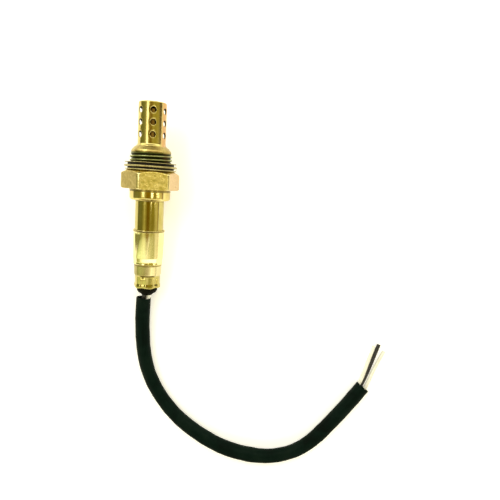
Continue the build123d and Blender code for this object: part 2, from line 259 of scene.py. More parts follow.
def thread_material():
    """Cut thread, its colour near black in the roots and pale on the crests."""
    n = Nodes("thread_metal")
    v = n.local()
    x, y, z = n.split(v)
    r = n.math("SQRT", n.math("ADD", n.math("MULTIPLY", x, x), n.math("MULTIPLY", y, y)))
    cloud = n.noise(v, 420.0, 5.0, 0.6, 0.3)
    height = n.between(n.math("ADD", r, n.math("MULTIPLY", cloud, 0.0003)),
                       0.00835, 0.00918, 0.0, 1.0)
    body = n.ramp(height, [(0.0, (0.022, 0.022, 0.007)), (0.40, (0.12, 0.135, 0.035)),
                           (0.78, (0.34, 0.38, 0.15)), (1.0, (0.58, 0.60, 0.32))])
    rust = n.ramp(n.noise(v, 150.0, 4.0, 0.6), [(0.52, 0.0), (0.66, 1.0)])
    n.set(color=n.mix(n.math("MULTIPLY", rust, 0.6), body, (0.16, 0.085, 0.03)), metallic=1.0,
          rough=n.between(cloud, 0.3, 0.7, 0.42, 0.28))
    n.bump(n.noise(v, 3000.0, 3.0), 0.006 * MM)
    return n.mat


def hex_material():
    """Forged and plated faces: a fine orange-peel grain, mottled from gold to olive."""
    n = Nodes("hex_metal")
    v = n.local()
    big = n.noise(v, 240.0, 4.0, 0.55, 0.5)
    mid = n.noise(v, 850.0, 4.0, 0.6, 0.2)
    fine = n.noise(v, 2400.0, 3.0, 0.6)
    body = n.ramp(big, [(0.34, (0.66, 0.53, 0.14)), (0.52, (0.76, 0.61, 0.19)),
                        (0.68, (0.84, 0.69, 0.27))])
    olive = n.ramp(mid, [(0.48, 0.0), (0.70, 1.0)])
    pale = n.ramp(mid, [(0.28, 1.0), (0.46, 0.0)])
    body = n.mix(n.math("MULTIPLY", olive, 0.75), body, (0.34, 0.27, 0.03))
    body = n.mix(n.math("MULTIPLY", pale, 0.65), body, (0.96, 0.84, 0.40))
    # painted light: the right face turns warm and pale and the left face darker, as light falls on them
    side = n.split(v)[1]
    body = n.mix(n.between(side, 0.0093, 0.0096, 0.0, 0.92), body, (0.62, 0.43, 0.23))
    body = n.mix(n.between(side, -0.0026, -0.0031, 0.0, 0.75), body, (0.46, 0.35, 0.13))
    n.set(color=body, metallic=1.0,
          rough=n.math("ADD", n.between(mid, 0.35, 0.65, 0.26, 0.36),
                       n.between(fine, 0.3, 0.7, -0.04, 0.04)))
    n.bump(mid, 0.10 * MM)
    n.bump(fine, 0.030 * MM)
    return n.mat


M["thread"] = thread_material()
M["hex"] = hex_material()
M["chamfer"] = turned_metal("chamfer_metal", (0.84, 0.74, 0.38), (0.66, 0.54, 0.20),
                            rough=(0.16, 0.28), rings=0.003)
M["collar"] = turned_metal("collar_metal", (0.78, 0.66, 0.28), (0.58, 0.46, 0.15),
                           rough=(0.08, 0.14), rings=0.003)
M["gasket"] = turned_metal("gasket_metal", (0.52, 0.45, 0.22), (0.34, 0.28, 0.11),
                           rough=(0.22, 0.36), rings=0.003)
# painted reflection: a warm orange tint fading in on the shield's right side
M["shield"] = turned_metal("shield_metal", (0.66, 0.55, 0.21), (0.56, 0.46, 0.15),
                           rough=(0.13, 0.22), lengthwise=True, rings=0.002,
                           painted_side_light=(0.0052, 0.0057, 0.85, (0.58, 0.32, 0.14)))
M["inner_shield"] = plain_metal("inner_shield_metal", (0.42, 0.27, 0.09), (0.24, 0.14, 0.04), 0.26)
# painted shade: a dark metal for the band under the hex, the sleeve's two joints and the underside of
# the cover's flange
M["rim"] = turned_metal("painted_dark_band_metal", (0.40, 0.32, 0.11), (0.20, 0.15, 0.05), rough=(0.22, 0.34),
                        rings=0.002)
# painted shade: a near black for the insides of the gasket's folds and of the outer shield, where shade
# falls
M["painted_shade"] = plain_stuff("painted_shade", (0.020, 0.012, 0.006), (0.008, 0.005, 0.003), 0.7)
M["sleeve"] = turned_metal("sleeve_metal", (0.56, 0.48, 0.17), (0.46, 0.38, 0.11),
                           rough=(0.06, 0.11), lengthwise=True, rings=0.0015)
# painted highlight: a pale cream tint over the tail's right half
M["tail"] = turned_metal("tail_metal", (0.44, 0.38, 0.15), (0.37, 0.31, 0.11),
                         rough=(0.10, 0.16), lengthwise=True, rings=0.0015,
                         painted_side_light=(0.0002, 0.0026, 0.85, (0.72, 0.64, 0.36)))
M["cover"] = turned_metal("cover_metal", (0.89, 0.79, 0.41), (0.83, 0.73, 0.34),
                          rough=(0.08, 0.15), lengthwise=True, rings=0.0015)


def rubber_material():
    n = Nodes("grommet_rubber")
    v = n.local()
    cloud = n.noise(v, 420.0, 5.0, 0.6)
    n.set(color=n.ramp(cloud, [(0.3, (0.003, 0.0035, 0.002)), (0.7, (0.007, 0.007, 0.004))]),
          rough=n.between(cloud, 0.3, 0.7, 0.62, 0.48), specular=0.04)
    n.bump(n.noise(v, 2200.0, 4.0, 0.6), 0.012 * MM)
    return n.mat


def loom_material():
    """Soft extruded sleeve: near black with a green cast, hazy, lightly scuffed."""
    n = Nodes("loom_sleeve")
    v = n.plain()
    cloud = n.noise(v, 95.0, 5.0, 0.6, 0.5)
    fine = n.noise(v, 900.0, 4.0, 0.65)
    dust = n.noise(v, 2300.0, 3.0, 0.7)
    body = n.ramp(cloud, [(0.30, (0.0014, 0.0040, 0.0026)), (0.52, (0.0020, 0.0078, 0.0052)),
                          (0.72, (0.0052, 0.0120, 0.0080))])
    specks = n.ramp(dust, [(0.66, 0.0), (0.80, 1.0)])
    n.set(color=n.mix(n.math("MULTIPLY", specks, 0.35), body, (0.022, 0.030, 0.022)),
          rough=n.math("ADD", n.between(cloud, 0.3, 0.7, 0.52, 0.40),
                       n.between(fine, 0.3, 0.7, -0.05, 0.06)), specular=0.03)
    n.bump(fine, 0.030 * MM)
    n.bump(n.noise(v, 330.0, 3.0, 0.55), 0.10 * MM)
    return n.mat


def insulation(name, light, dark, rough):
    n = Nodes(name)
    v = n.plain()
    cloud = n.noise(v, 240.0, 5.0, 0.6)
    fine = n.noise(v, 1600.0, 3.0, 0.6)
    n.set(color=n.ramp(cloud, [(0.32, dark), (0.68, light)]),
          rough=n.math("ADD", n.between(cloud, 0.3, 0.7, rough + 0.06, rough - 0.04),
                       n.between(fine, 0.3, 0.7, -0.03, 0.04)))
    n.bump(fine, 0.008 * MM)
    return n.mat


def strand_material():
    n = Nodes("tinned_strands")
    v = n.plain()
    cloud = n.noise(v, 2600.0, 3.0)
    n.set(color=n.ramp(cloud, [(0.35, (0.46, 0.36, 0.26)), (0.62, (0.74, 0.70, 0.64))]),
          metallic=1.0, rough=n.between(cloud, 0.3, 0.7, 0.42, 0.25))
    n.bump(cloud, 0.01 * MM)
    return n.mat


M["rubber"] = rubber_material()
M["loom"] = loom_material()
M["black_wire"] = insulation("wire_black", (0.018, 0.016, 0.017), (0.006, 0.005, 0.006), 0.36)
M["white_wire"] = insulation("wire_white", (0.90, 0.89, 0.85), (0.78, 0.76, 0.70), 0.34)
M["strands"] = strand_material()

# The pieces inside keep their CAD shape and get their own finish.
INSIDE = {
    "inner_shield": M["inner_shield"],
    "sensing_element": plain_stuff("zirconia", (0.90, 0.88, 0.82), (0.80, 0.77, 0.69), 0.45),
    "heater_rod": plain_stuff("heater_alumina", (0.84, 0.82, 0.78), (0.72, 0.69, 0.64), 0.55),
    "seal_washer": plain_metal("washer_nickel", (0.70, 0.66, 0.58), (0.52, 0.48, 0.40), 0.30),
    "talc_packing": plain_stuff("talc", (0.72, 0.70, 0.66), (0.60, 0.58, 0.54), 0.85, bump=0.03),
    "steatite_bushing": plain_stuff("steatite", (0.82, 0.79, 0.70), (0.70, 0.66, 0.57), 0.5),
    "packing_ring": plain_metal("ring_steel", (0.58, 0.56, 0.52), (0.42, 0.40, 0.36), 0.34),
    "vent_membrane": plain_stuff("membrane_ptfe", (0.90, 0.90, 0.88), (0.80, 0.80, 0.78), 0.7,
                                 bump=0.02, scale=3000.0),
    "terminal_holder": plain_stuff("holder_ceramic", (0.90, 0.89, 0.86), (0.78, 0.76, 0.72), 0.5),
    "holder_spring": plain_metal("spring_steel", (0.52, 0.52, 0.50), (0.38, 0.38, 0.36), 0.28),
    "signal_terminal": plain_metal("terminal_nickel", (0.74, 0.71, 0.62), (0.58, 0.55, 0.46), 0.26),
}
INSIDE["heater_a_terminal"] = INSIDE["heater_b_terminal"] = INSIDE["signal_terminal"]
for node, mat in INSIDE.items():
    data = NODES[node].data
    if len(data.materials) == 0:
        data.materials.append(mat)
    for i in range(len(data.materials)):
        data.materials[i] = mat


# --------------------------------------------------------------- mesh helpers
def obj_from(name, verts, faces, mats, face_mat=None, weld=0.0, sharp=32.0, fix=True):
    """verts are row metres. Faces are turned outwards and shaded smooth."""
    me = bpy.data.meshes.new(name)
    me.from_pydata([tuple(map(float, v)) for v in verts], [], [tuple(f) for f in faces])
    for m in mats:
        me.materials.append(m)
    if face_mat is not None:
        me.polygons.foreach_set("material_index", np.asarray(face_mat, np.int32))
    me.update()
    bm = bmesh.new()
    bm.from_mesh(me)
    if weld:
        bmesh.ops.remove_doubles(bm, verts=bm.verts, dist=weld)
    loose = [v for v in bm.verts if not v.link_faces]
    if loose:
        bmesh.ops.delete(bm, geom=loose, context="VERTS")
    if fix:
        bmesh.ops.recalc_face_normals(bm, faces=bm.faces)
    bm.to_mesh(me)
    bm.free()
    me.polygons.foreach_set("use_smooth", np.ones(len(me.polygons), bool))
    me.set_sharp_from_angle(angle=math.radians(sharp))
    ob = bpy.data.objects.new(name, me)
    bpy.context.scene.collection.objects.link(ob)
    return ob


def fillet(points, closed=False, seg=5):
    """Corners (x, y[, radius]) to points. Each rounded corner gives seg + 1 points."""
    out, n = [], len(points)
    for i, p in enumerate(points):
        r = p[2] if len(p) > 2 else 0.0
        if r <= 0 or (not closed and i in (0, n - 1)):
            out.append((p[0], p[1]))
            continue
        a, b, c = (np.array(points[j][:2], float) for j in ((i - 1) % n, i, (i + 1) % n))
        u, v = a - b, c - b
        lu, lv = np.linalg.norm(u), np.linalg.norm(v)
        u, v = u / lu, v / lv
        half = math.acos(max(-1.0, min(1.0, float(u @ v)))) / 2
        if half > math.radians(89.5):
            out += [tuple(b)] * (seg + 1)
            continue
        t = min(r / math.tan(half), 0.48 * lu, 0.48 * lv)
        mid = (u + v) / np.linalg.norm(u + v)
        centre = b + mid * (t / math.cos(half))
        p1, p2 = b + u * t - centre, b + v * t - centre
        w = math.acos(max(-1.0, min(1.0, float(p1 @ p2) / float(p1 @ p1))))
        for k in range(seg + 1):
            s = k / seg
            q = (math.sin((1 - s) * w) * p1 + math.sin(s * w) * p2) / math.sin(w)
            out.append(tuple(centre + q))
    return out


def refine(points, step, closed=False):
    """Adds points so that no piece of the line is longer than step."""
    pts = [np.array(p, float) for p in points]
    out, n = [], len(pts)
    for i in range(n if closed else n - 1):
        a, b = pts[i], pts[(i + 1) % n]
        k = max(1, int(math.ceil(np.linalg.norm(b - a) / step - 1e-9)))
        out += [a + (b - a) * j / k for j in range(k)]
    if not closed:
        out.append(pts[-1])
    return np.array(out)


def grid_faces(rows, cols, closed_rows=False, first=0):
    """Quads of a grid whose columns go all the way round."""
    f = []
    for i in range(rows if closed_rows else rows - 1):
        a, b = first + i * cols, first + ((i + 1) % rows) * cols
        for j in range(cols):
            k = (j + 1) % cols
            f.append((a + j, a + k, b + k, b + j))
    return f


def lathe(name, loop, mats, cols=192, shape=None, pick=None, sharp=32.0):
    """Revolves a closed (r, z) loop. shape(r, az, z) may change it, pick(r, z) gives a slot."""
    loop = np.asarray(loop, float)
    az = np.arange(cols) / cols * 2 * math.pi
    r = np.repeat(loop[:, :1], cols, 1)
    z = np.repeat(loop[:, 1:], cols, 1)
    a = np.broadcast_to(az, r.shape)
    if shape is not None:
        r, z = shape(r, a, z)
    p = placed(ring(r, a, z)).reshape(-1, 3)
    faces = grid_faces(len(loop), cols, True)
    slots = None
    if pick is not None:
        n = len(loop)
        slots = [pick(*((loop[i] + loop[(i + 1) % n]) / 2)) for i in range(n) for _ in range(cols)]
    return obj_from(name, p, faces, mats, slots, sharp=sharp)


def smooth(x, lo, hi):
    t = np.clip((x - lo) / (hi - lo), 0.0, 1.0)
    return t * t * (3 - 2 * t)


# ---------------------------------------------------------------------- cords
# Control points of the loom and the wires, in row millimetres.
WIRE_AZ = {"signal": -55.0, "heater_a": 65.0, "heater_b": 185.0}
LOOM_FLOOR = [
    (-5.15, -71.0), (0.9, -86.4), (13.20, -100.59), (31.12, -111.44),
    (48.49, -115.13), (61.44, -113.23), (70.30, -108.13), (78.69, -100.16),
    (87.22, -91.03), (93.99, -83.22),
]
LOOM = [on_axis(-51.95, -1.35), on_axis(-62.0, -1.85)]
LOOM += [np.array((x, y, 3.2)) for x, y in LOOM_FLOOR]
WIRE_ENDS = {
    "signal": [(93.60, -83.40, 2.0), (97.80, -74.83, 0.95), (102.03, -64.63, 0.86)],
    "heater_a": [(92.82, -82.20, 2.65), (96.29, -74.14, 1.0), (99.75, -65.35, 0.86)],
    "heater_b": [(95.31, -84.37, 2.6), (99.68, -75.57, 1.0), (104.27, -67.73, 0.86)],
}
LAY = {
    "signal": [(-0.1, 0.85), (0, 0.75), (0, 0.4), (0, 0.0), (0, -0.5), (0, -0.9),
               (0, -1.0), (0, -1.0), (0, -1.0)],
    "heater_a": [(1.7, 0.15), (1.7, -0.3), (1.75, -0.6), (1.75, -0.6), (1.75, -0.6),
                 (1.75, -0.6), (1.75, -0.6), (1.75, -0.6), (1.75, -0.6)],
    "heater_b": [(-0.3, -1.5), (-1.2, -1.2), (-1.75, -0.6), (-1.75, -0.6), (-1.75, -0.6),
                 (-1.75, -0.6), (-1.75, -0.6), (-1.75, -0.6), (-1.75, -0.6)],
}


def laid(index, left, upward):
    p, q, r = (LOOM[i] for i in (index - 1, index, index + 1))
    one, two = (q - p)[:2], (r - q)[:2]
    one, two = one / np.linalg.norm(one), two / np.linalg.norm(two)
    along = (one + two) / np.linalg.norm(one + two)
    mitre = 1 / math.sqrt((1 + float(one @ two)) / 2)
    return q + np.array((-along[1], along[0], 0)) * (left * mitre) + np.array((0, 0, upward))


def wire_route(key):
    a = math.radians(WIRE_AZ[key])
    x, y = 1.2 * math.cos(a), 1.2 * math.sin(a)
    pts = [on_axis(-40.15, y, x), on_axis(-50.0, y, x), on_axis(-54.5, y - 0.55, x),
           on_axis(-62.0, y - 1.05, x)]
    pts += [laid(i + 2, left, up) for i, (left, up) in enumerate(LAY[key])]
    return pts + [np.array(p, float) for p in WIRE_ENDS[key]]


def spline_points(name, pts, resolution=24):
    """Points along the route's NURBS line, in row metres."""
    cu = bpy.data.curves.new(name, "CURVE")
    cu.dimensions = "3D"
    cu.resolution_u = resolution
    sp = cu.splines.new("NURBS")
    sp.points.add(len(pts) - 1)
    for q, p in zip(sp.points, pts):
        q.co = (*(float(c) * MM for c in p), 1.0)
    sp.order_u = 3
    sp.use_endpoint_u = True
    ob = bpy.data.objects.new(name, cu)
    bpy.context.scene.collection.objects.link(ob)
    bpy.context.view_layer.update()
    me = bpy.data.meshes.new_from_object(ob.evaluated_get(bpy.context.evaluated_depsgraph_get()))
    line = np.array([v.co for v in me.vertices], float)
    bpy.data.objects.remove(ob)
    bpy.data.curves.remove(cu)
    bpy.data.meshes.remove(me)
    return line


def evenly(line, step):
    """The same line with evenly spaced points, and each one's distance along it."""
    keep = np.concatenate([[True], np.linalg.norm(np.diff(line, axis=0), axis=1) > 1e-9])
    line = line[keep]
    d = np.concatenate([[0], np.cumsum(np.linalg.norm(np.diff(line, axis=0), axis=1))])
    n = int(round(d[-1] / step))
    s = np.linspace(0, d[-1], n + 1)
    return np.stack([np.interp(s, d, line[:, i]) for i in range(3)], 1), s


def carried(line):
    """Tangent, left and up directions along a line, with up kept as near +Z as it can be."""
    t = np.gradient(line, axis=0)
    t /= np.linalg.norm(t, axis=1)[:, None]
    left = np.cross(np.array((0, 0, 1.0)), t)
    left /= np.linalg.norm(left, axis=1)[:, None]
    return t, left, np.cross(t, left)


def tube_mesh(name, line, s, radius, bore, mats, around=48, end_depth=0.0006):
    """An open sleeve along a line: radius(s, a) and bore(s, a) in metres."""
    t, left, up = carried(line)
    a = np.arange(around) / around * 2 * math.pi
    S, AA = np.meshgrid(s, a, indexing="ij")
    ro, ri = radius(S, AA), bore(S, AA)
    c, d = np.cos(a)[None, :, None], np.sin(a)[None, :, None]
    radial = left[:, None, :] * c + up[:, None, :] * d
    outer = line[:, None, :] + radial * ro[..., None]
    inner = line[:, None, :] + radial * ri[..., None]
    lip = [outer[0] * 0.5 + inner[0] * 0.5 - t[0] * 0.00006,
           outer[-1] * 0.5 + inner[-1] * 0.5 + t[-1] * 0.00006]
    rows = np.concatenate([outer, lip[1][None], inner[::-1], lip[0][None]])
    rows[..., 2] = np.maximum(rows[..., 2], 0.00002)
    faces = grid_faces(len(rows), around, True)
    return obj_from(name, rows.reshape(-1, 3), faces, mats, sharp=50.0)


def waves(s, a, terms):
    """Smooth, fixed unevenness: sum of cosines in distance (mm) and angle."""
    out = np.zeros_like(s)
    for amp, wl, k, ph in terms:
        out += amp * np.cos(2 * math.pi * s / (wl * MM) + k * a + ph)
    return out


loom_line, loom_s = evenly(spline_points("loom_line", LOOM), 0.0006)


def loom_radius(s, a):
    u = s / loom_s[-1]
    # width along the sleeve, in millimetres from its mouth
    at = np.array([0, 12, 30, 48, 66, 84, 96, 106, 118, 130, 145, 160]) * MM
    ww = np.array([3.28, 3.24, 3.08, 2.98, 3.12, 3.20, 3.20, 3.0, 2.98, 3.16, 3.20, 3.22])
    base = np.interp(s, at, ww)
    lobes = 0.10 * np.cos(3 * (a - 1.1 - 2.2 * u)) + 0.06 * np.cos(2 * (a - 0.4 + 1.3 * u))
    soft = waves(s, a, [(0.030, 23.0, 1, 0.4), (0.026, 11.3, -2, 2.1), (0.020, 7.1, 2, 4.0),
                        (0.014, 4.3, -3, 1.3), (0.010, 2.9, 4, 5.2), (0.008, 1.9, -5, 0.7)])
    return (base - 0.06 + lobes * 0.8 + soft) * MM


loom = tube_mesh("loom_sleeve", loom_line, loom_s, loom_radius,
                 lambda s, a: loom_radius(s, a) - 0.40 * MM, [M["loom"]], around=56)
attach(loom, "root")
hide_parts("loom")

for key in ("signal", "heater_a", "heater_b"):
    line, s = evenly(spline_points(key + "_line", wire_route(key)), 0.0008)
    t, left, up = carried(line)
    R, CORE, around = 0.85, 0.47, 28
    a = np.arange(around) / around * 2 * math.pi
    radial = left[:, None, :] * np.cos(a)[None, :, None] + up[:, None, :] * np.sin(a)[None, :, None]
    rows = []
    rr = (R + 0.006 * np.cos(2 * math.pi * s / 0.013 + 1.0)) * MM
    rows += [line[0] + radial[0] * (CORE * MM), line[0] + radial[0] * (R * MM)]
    for i in range(1, len(line) - 1):
        rows.append(line[i] + radial[i] * rr[i])
    end, e_t, e_r = line[-1], t[-1], radial[-1]
    # square cut: a small burr on the skin's edge, and the core set a little back
    rows += [end - e_t * 0.00008 + e_r * R * MM, end + e_r * (R - 0.05) * MM,
             end + e_r * (CORE + 0.03) * MM, end - e_t * 0.00006 + e_r * CORE * MM,
             end - e_t * 0.0030 + e_r * CORE * MM]
    verts = np.array(rows)
    n = len(verts)
    faces = grid_faces(n, around)
    verts = verts.reshape(-1, 3)
    faces.append(tuple(range(around - 1, -1, -1)))
    faces.append(tuple((n - 1) * around + j for j in range(around)))
    white = key != "signal"
    wire = obj_from(key + "_lead", verts, faces, [M["white_wire"] if white else M["black_wire"]],
                    sharp=40.0)
    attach(wire, "root")
    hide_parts(key + "_wire")
    # the cut strands in the end
    sv, sf = [], []
    spots = [(0.0, 0.0)] + [(0.295 * math.cos(k * math.pi / 3 + 0.2),
                             0.295 * math.sin(k * math.pi / 3 + 0.2)) for k in range(6)]
    for k, (px, py) in enumerate(spots):
        out = (0.00002, -0.00004, 0.00005, 0.0, -0.00006, 0.00003, 0.0)[k]
        c0 = end + (left[-1] * px + up[-1] * py) * MM
        base = len(sv)
        prof = [(0.0, -0.0029), (0.145, -0.0029), (0.145, out - 0.00003), (0.115, out), (0.0, out)]
        m = 12
        for pr, pt in prof[1:-1]:
            for j in range(m):
                ang = j / m * 2 * math.pi
                sv.append(c0 + (left[-1] * math.cos(ang) + up[-1] * math.sin(ang)) * pr * MM + e_t * pt)
        rings_n = len(prof) - 2
        sf += grid_faces(rings_n, m, False, base)
        sf.append(tuple(base + j for j in range(m - 1, -1, -1)))
        sf.append(tuple(base + (rings_n - 1) * m + j for j in range(m)))
    strands = obj_from(key + "_strands", sv, sf, [M["strands"]], sharp=40.0)
    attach(strands, "root")
    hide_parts(key + "_core")

# ---------------------------------------------------------------------- shell
HEX_AZ = math.radians(19.3)
HEX_A, HEX_CORNER = 11.0, 12.38


def hex_radius(az):
    """The hexagon's outline, its six corners turned down to narrow round strips."""
    f = (az - HEX_AZ + math.pi / 6) % (math.pi / 3) - math.pi / 6
    flat = HEX_A / np.cos(f)
    k = 0.10
    h = np.clip(0.5 + 0.5 * (flat - HEX_CORNER) / k, 0, 1)
    return HEX_CORNER * h + flat * (1 - h) - k * h * (1 - h)


PITCH, MAJOR, DEPTH = 1.5, 8.98, 0.86


def thread_radius(az, z):
    """Right-handed M18 x 1.5 with flat crests, rounded roots and a run-out at each end."""
    f = ((z - 10.95) / PITCH - az / (2 * math.pi)) % 1.0
    d = np.abs(np.where(f > 0.5, f - 1.0, f)) * PITCH      # distance from the root line
    flank = (d - 0.10) * 1.60
    tooth = np.clip(flank, 0.0, DEPTH)
    tooth = np.where(d < 0.16, 0.9 * d * d / 0.16, tooth)
    r = MAJOR - DEPTH + np.minimum(tooth, DEPTH)
    front = 8.45 + np.clip((11.35 - z) * 1.1, 0.0, 0.6)
    back = 8.2 + np.clip((z - 7.45) * 2.6, 0.0, 1.0)
    cut = np.clip((11.75 - z) / 0.55, 0, 1)
    body = np.minimum(np.minimum(front, back), MAJOR)
    deep = body - np.minimum(body, r)
    start = np.clip((z - 7.45) / 0.25, 0, 1)
    return body - deep * cut * start


def build_shell():
    cols = 384
    az = np.arange(cols) / cols * 2 * math.pi + HEX_AZ
    R = hex_radius(az)
    t30 = math.tan(math.radians(30))
    # columns of (r, z), the same number of points at every azimuth
    nose = fillet([(6.5, 14.36), (6.54, 14.4), (6.75, 14.4, 0.12), (7.35, 13.9, 0.5),
                   (8.25, 12.8, 0.7), (8.45, 12.2, 0.15), (8.45, 12.02, 0.05), (8.2, 11.97, 0.04),
                   (8.2, 11.83, 0.04), (8.45, 11.78, 0.05), (8.45, 11.75)], seg=6)
    nose = refine(nose, 0.35)
    tz = np.linspace(11.74, 7.46, 96)
    relief = [(8.2, 7.4), (8.2, 4.6), (8.25, 4.47)]
    collar = refine(fillet([(8.66, -3.62, 0.0), (8.7, -3.75, 0.1), (8.7, -8.3, 1.25),
                            (6.4, -8.3, 0.1), (6.2, -8.3, 0.05), (6.2, -8.1)], seg=10), 0.45)
    inner = [(6.2, -7.25), (6.6, -6.9), (6.6, 5.0), (4.7, 5.0), (4.7, 12.6), (7.25, 12.6),
             (7.25, 13.35), (6.5, 13.35)]
    cols_r, cols_z, kinds = [], [], None
    for j in range(cols):
        r_hex = float(R[j])
        zf = 4.45 - (r_hex - 9.8) * t30
        cut = max(r_hex - 11.75, 0.14)
        rb, zb = r_hex - cut, -3.55 + cut * t30
        h = fillet([(8.3, 4.45), (9.8, 4.45, 0.25), (r_hex, zf, 0.7), (r_hex, zb, 0.22),
                    (rb, -3.55, 0.14), (8.75, -3.55, 0.06), (8.66, -3.62)], seg=6)
        h = np.array(h)
        # extra rows along the flat, so that its surface can be uneven
        a, b = h[14], h[15]
        flat = [a + (b - a) * k / 9 for k in range(1, 9)]
        h = np.concatenate([h[:15], flat, h[15:]])
        th = thread_radius(az[j], tz)
        col = np.concatenate([nose, np.stack([th, tz], 1), relief, h, collar, inner])
        cols_r.append(col[:, 0])
        cols_z.append(col[:, 1])
        if kinds is None:
            # slot 5 is painted shade: the top of the collar, right under the hex, is dark
            kinds = ([0] * len(nose) + [1] * (len(tz) + len(relief)) + [4] * 8
                     + [2] * (len(h) - 8 - 16) + [4] * 16
                     + [5 if p[1] > -4.25 else 3 for p in collar] + [3] * len(inner))
    r, z = np.array(cols_r).T, np.array(cols_z).T
    a = np.broadcast_to(az, r.shape)
    # forged faces are not quite flat
    flats = (r > 10.4) & (z < 4.1) & (z > -3.4)
    dip = (0.020 * np.cos(5 * a + 0.9 * z + 0.5) + 0.016 * np.cos(11 * a - 1.7 * z)
           + 0.012 * np.cos(17 * a + 2.3 * z + 2.0) + 0.010 * np.cos(29 * a - 3.1 * z + 1.0))
    r = np.where(flats, r - 0.03 + dip * 0.6, r)
    p = placed(ring(r, a, z)).reshape(-1, 3)
    faces = grid_faces(len(r), cols, True)
    strip = hex_radius(az + math.pi / cols) > HEX_CORNER - 0.02
    slots = [4 if k == 2 and strip[j] else k for k in kinds for j in range(cols)]
    return obj_from("shell_body", p, faces, [M["nose"], M["thread"], M["hex"], M["collar"], M["chamfer"], M["rim"]], slots,
                    sharp=38.0)


shell = build_shell()
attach(shell, "root")
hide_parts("shell")

# --------------------------------------------------------------------- gasket
gasket_loop = refine(fillet([
    (8.8, 4.47, 0.05), (10.85, 4.47, 0.16), (10.95, 4.9, 0.16), (9.75, 4.95, 0.12), (9.75, 5.6, 0.12),
    (11.2, 5.66, 0.38), (11.2, 6.45, 0.38), (9.75, 6.5, 0.12), (9.75, 7.38, 0.12), (11.0, 7.42, 0.13),
    (11.0, 7.70, 0.13), (8.9, 7.7, 0.25)], closed=True, seg=7), 0.30, closed=True)


# painted shade: the faces inside the folds take the near black, where shade falls
def gasket_slot(r, z):
    return 1 if r < 10.55 and 4.9 < z < 7.5 else 0


def gasket_shape(r, a, z):
    out = np.clip((r - 10.0) / 1.2, 0, 1)
    r = r + out * (0.035 * np.cos(2 * a + 0.6) + 0.02 * np.cos(5 * a + 2.0) + 0.012 * np.cos(13 * a))
    z = z + out * (0.03 * np.cos(3 * a + 1.0) + 0.015 * np.cos(7 * a + z))
    return r, z


gasket = lathe("crush_gasket", gasket_loop, [M["gasket"], M["painted_shade"]], cols=224, shape=gasket_shape,
               pick=gasket_slot, sharp=45.0)
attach(gasket, "root")
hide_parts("gasket")

# --------------------------------------------------------------- outer shield
SH_R, SH_T, HOLE = 5.9, 0.4, 1.25


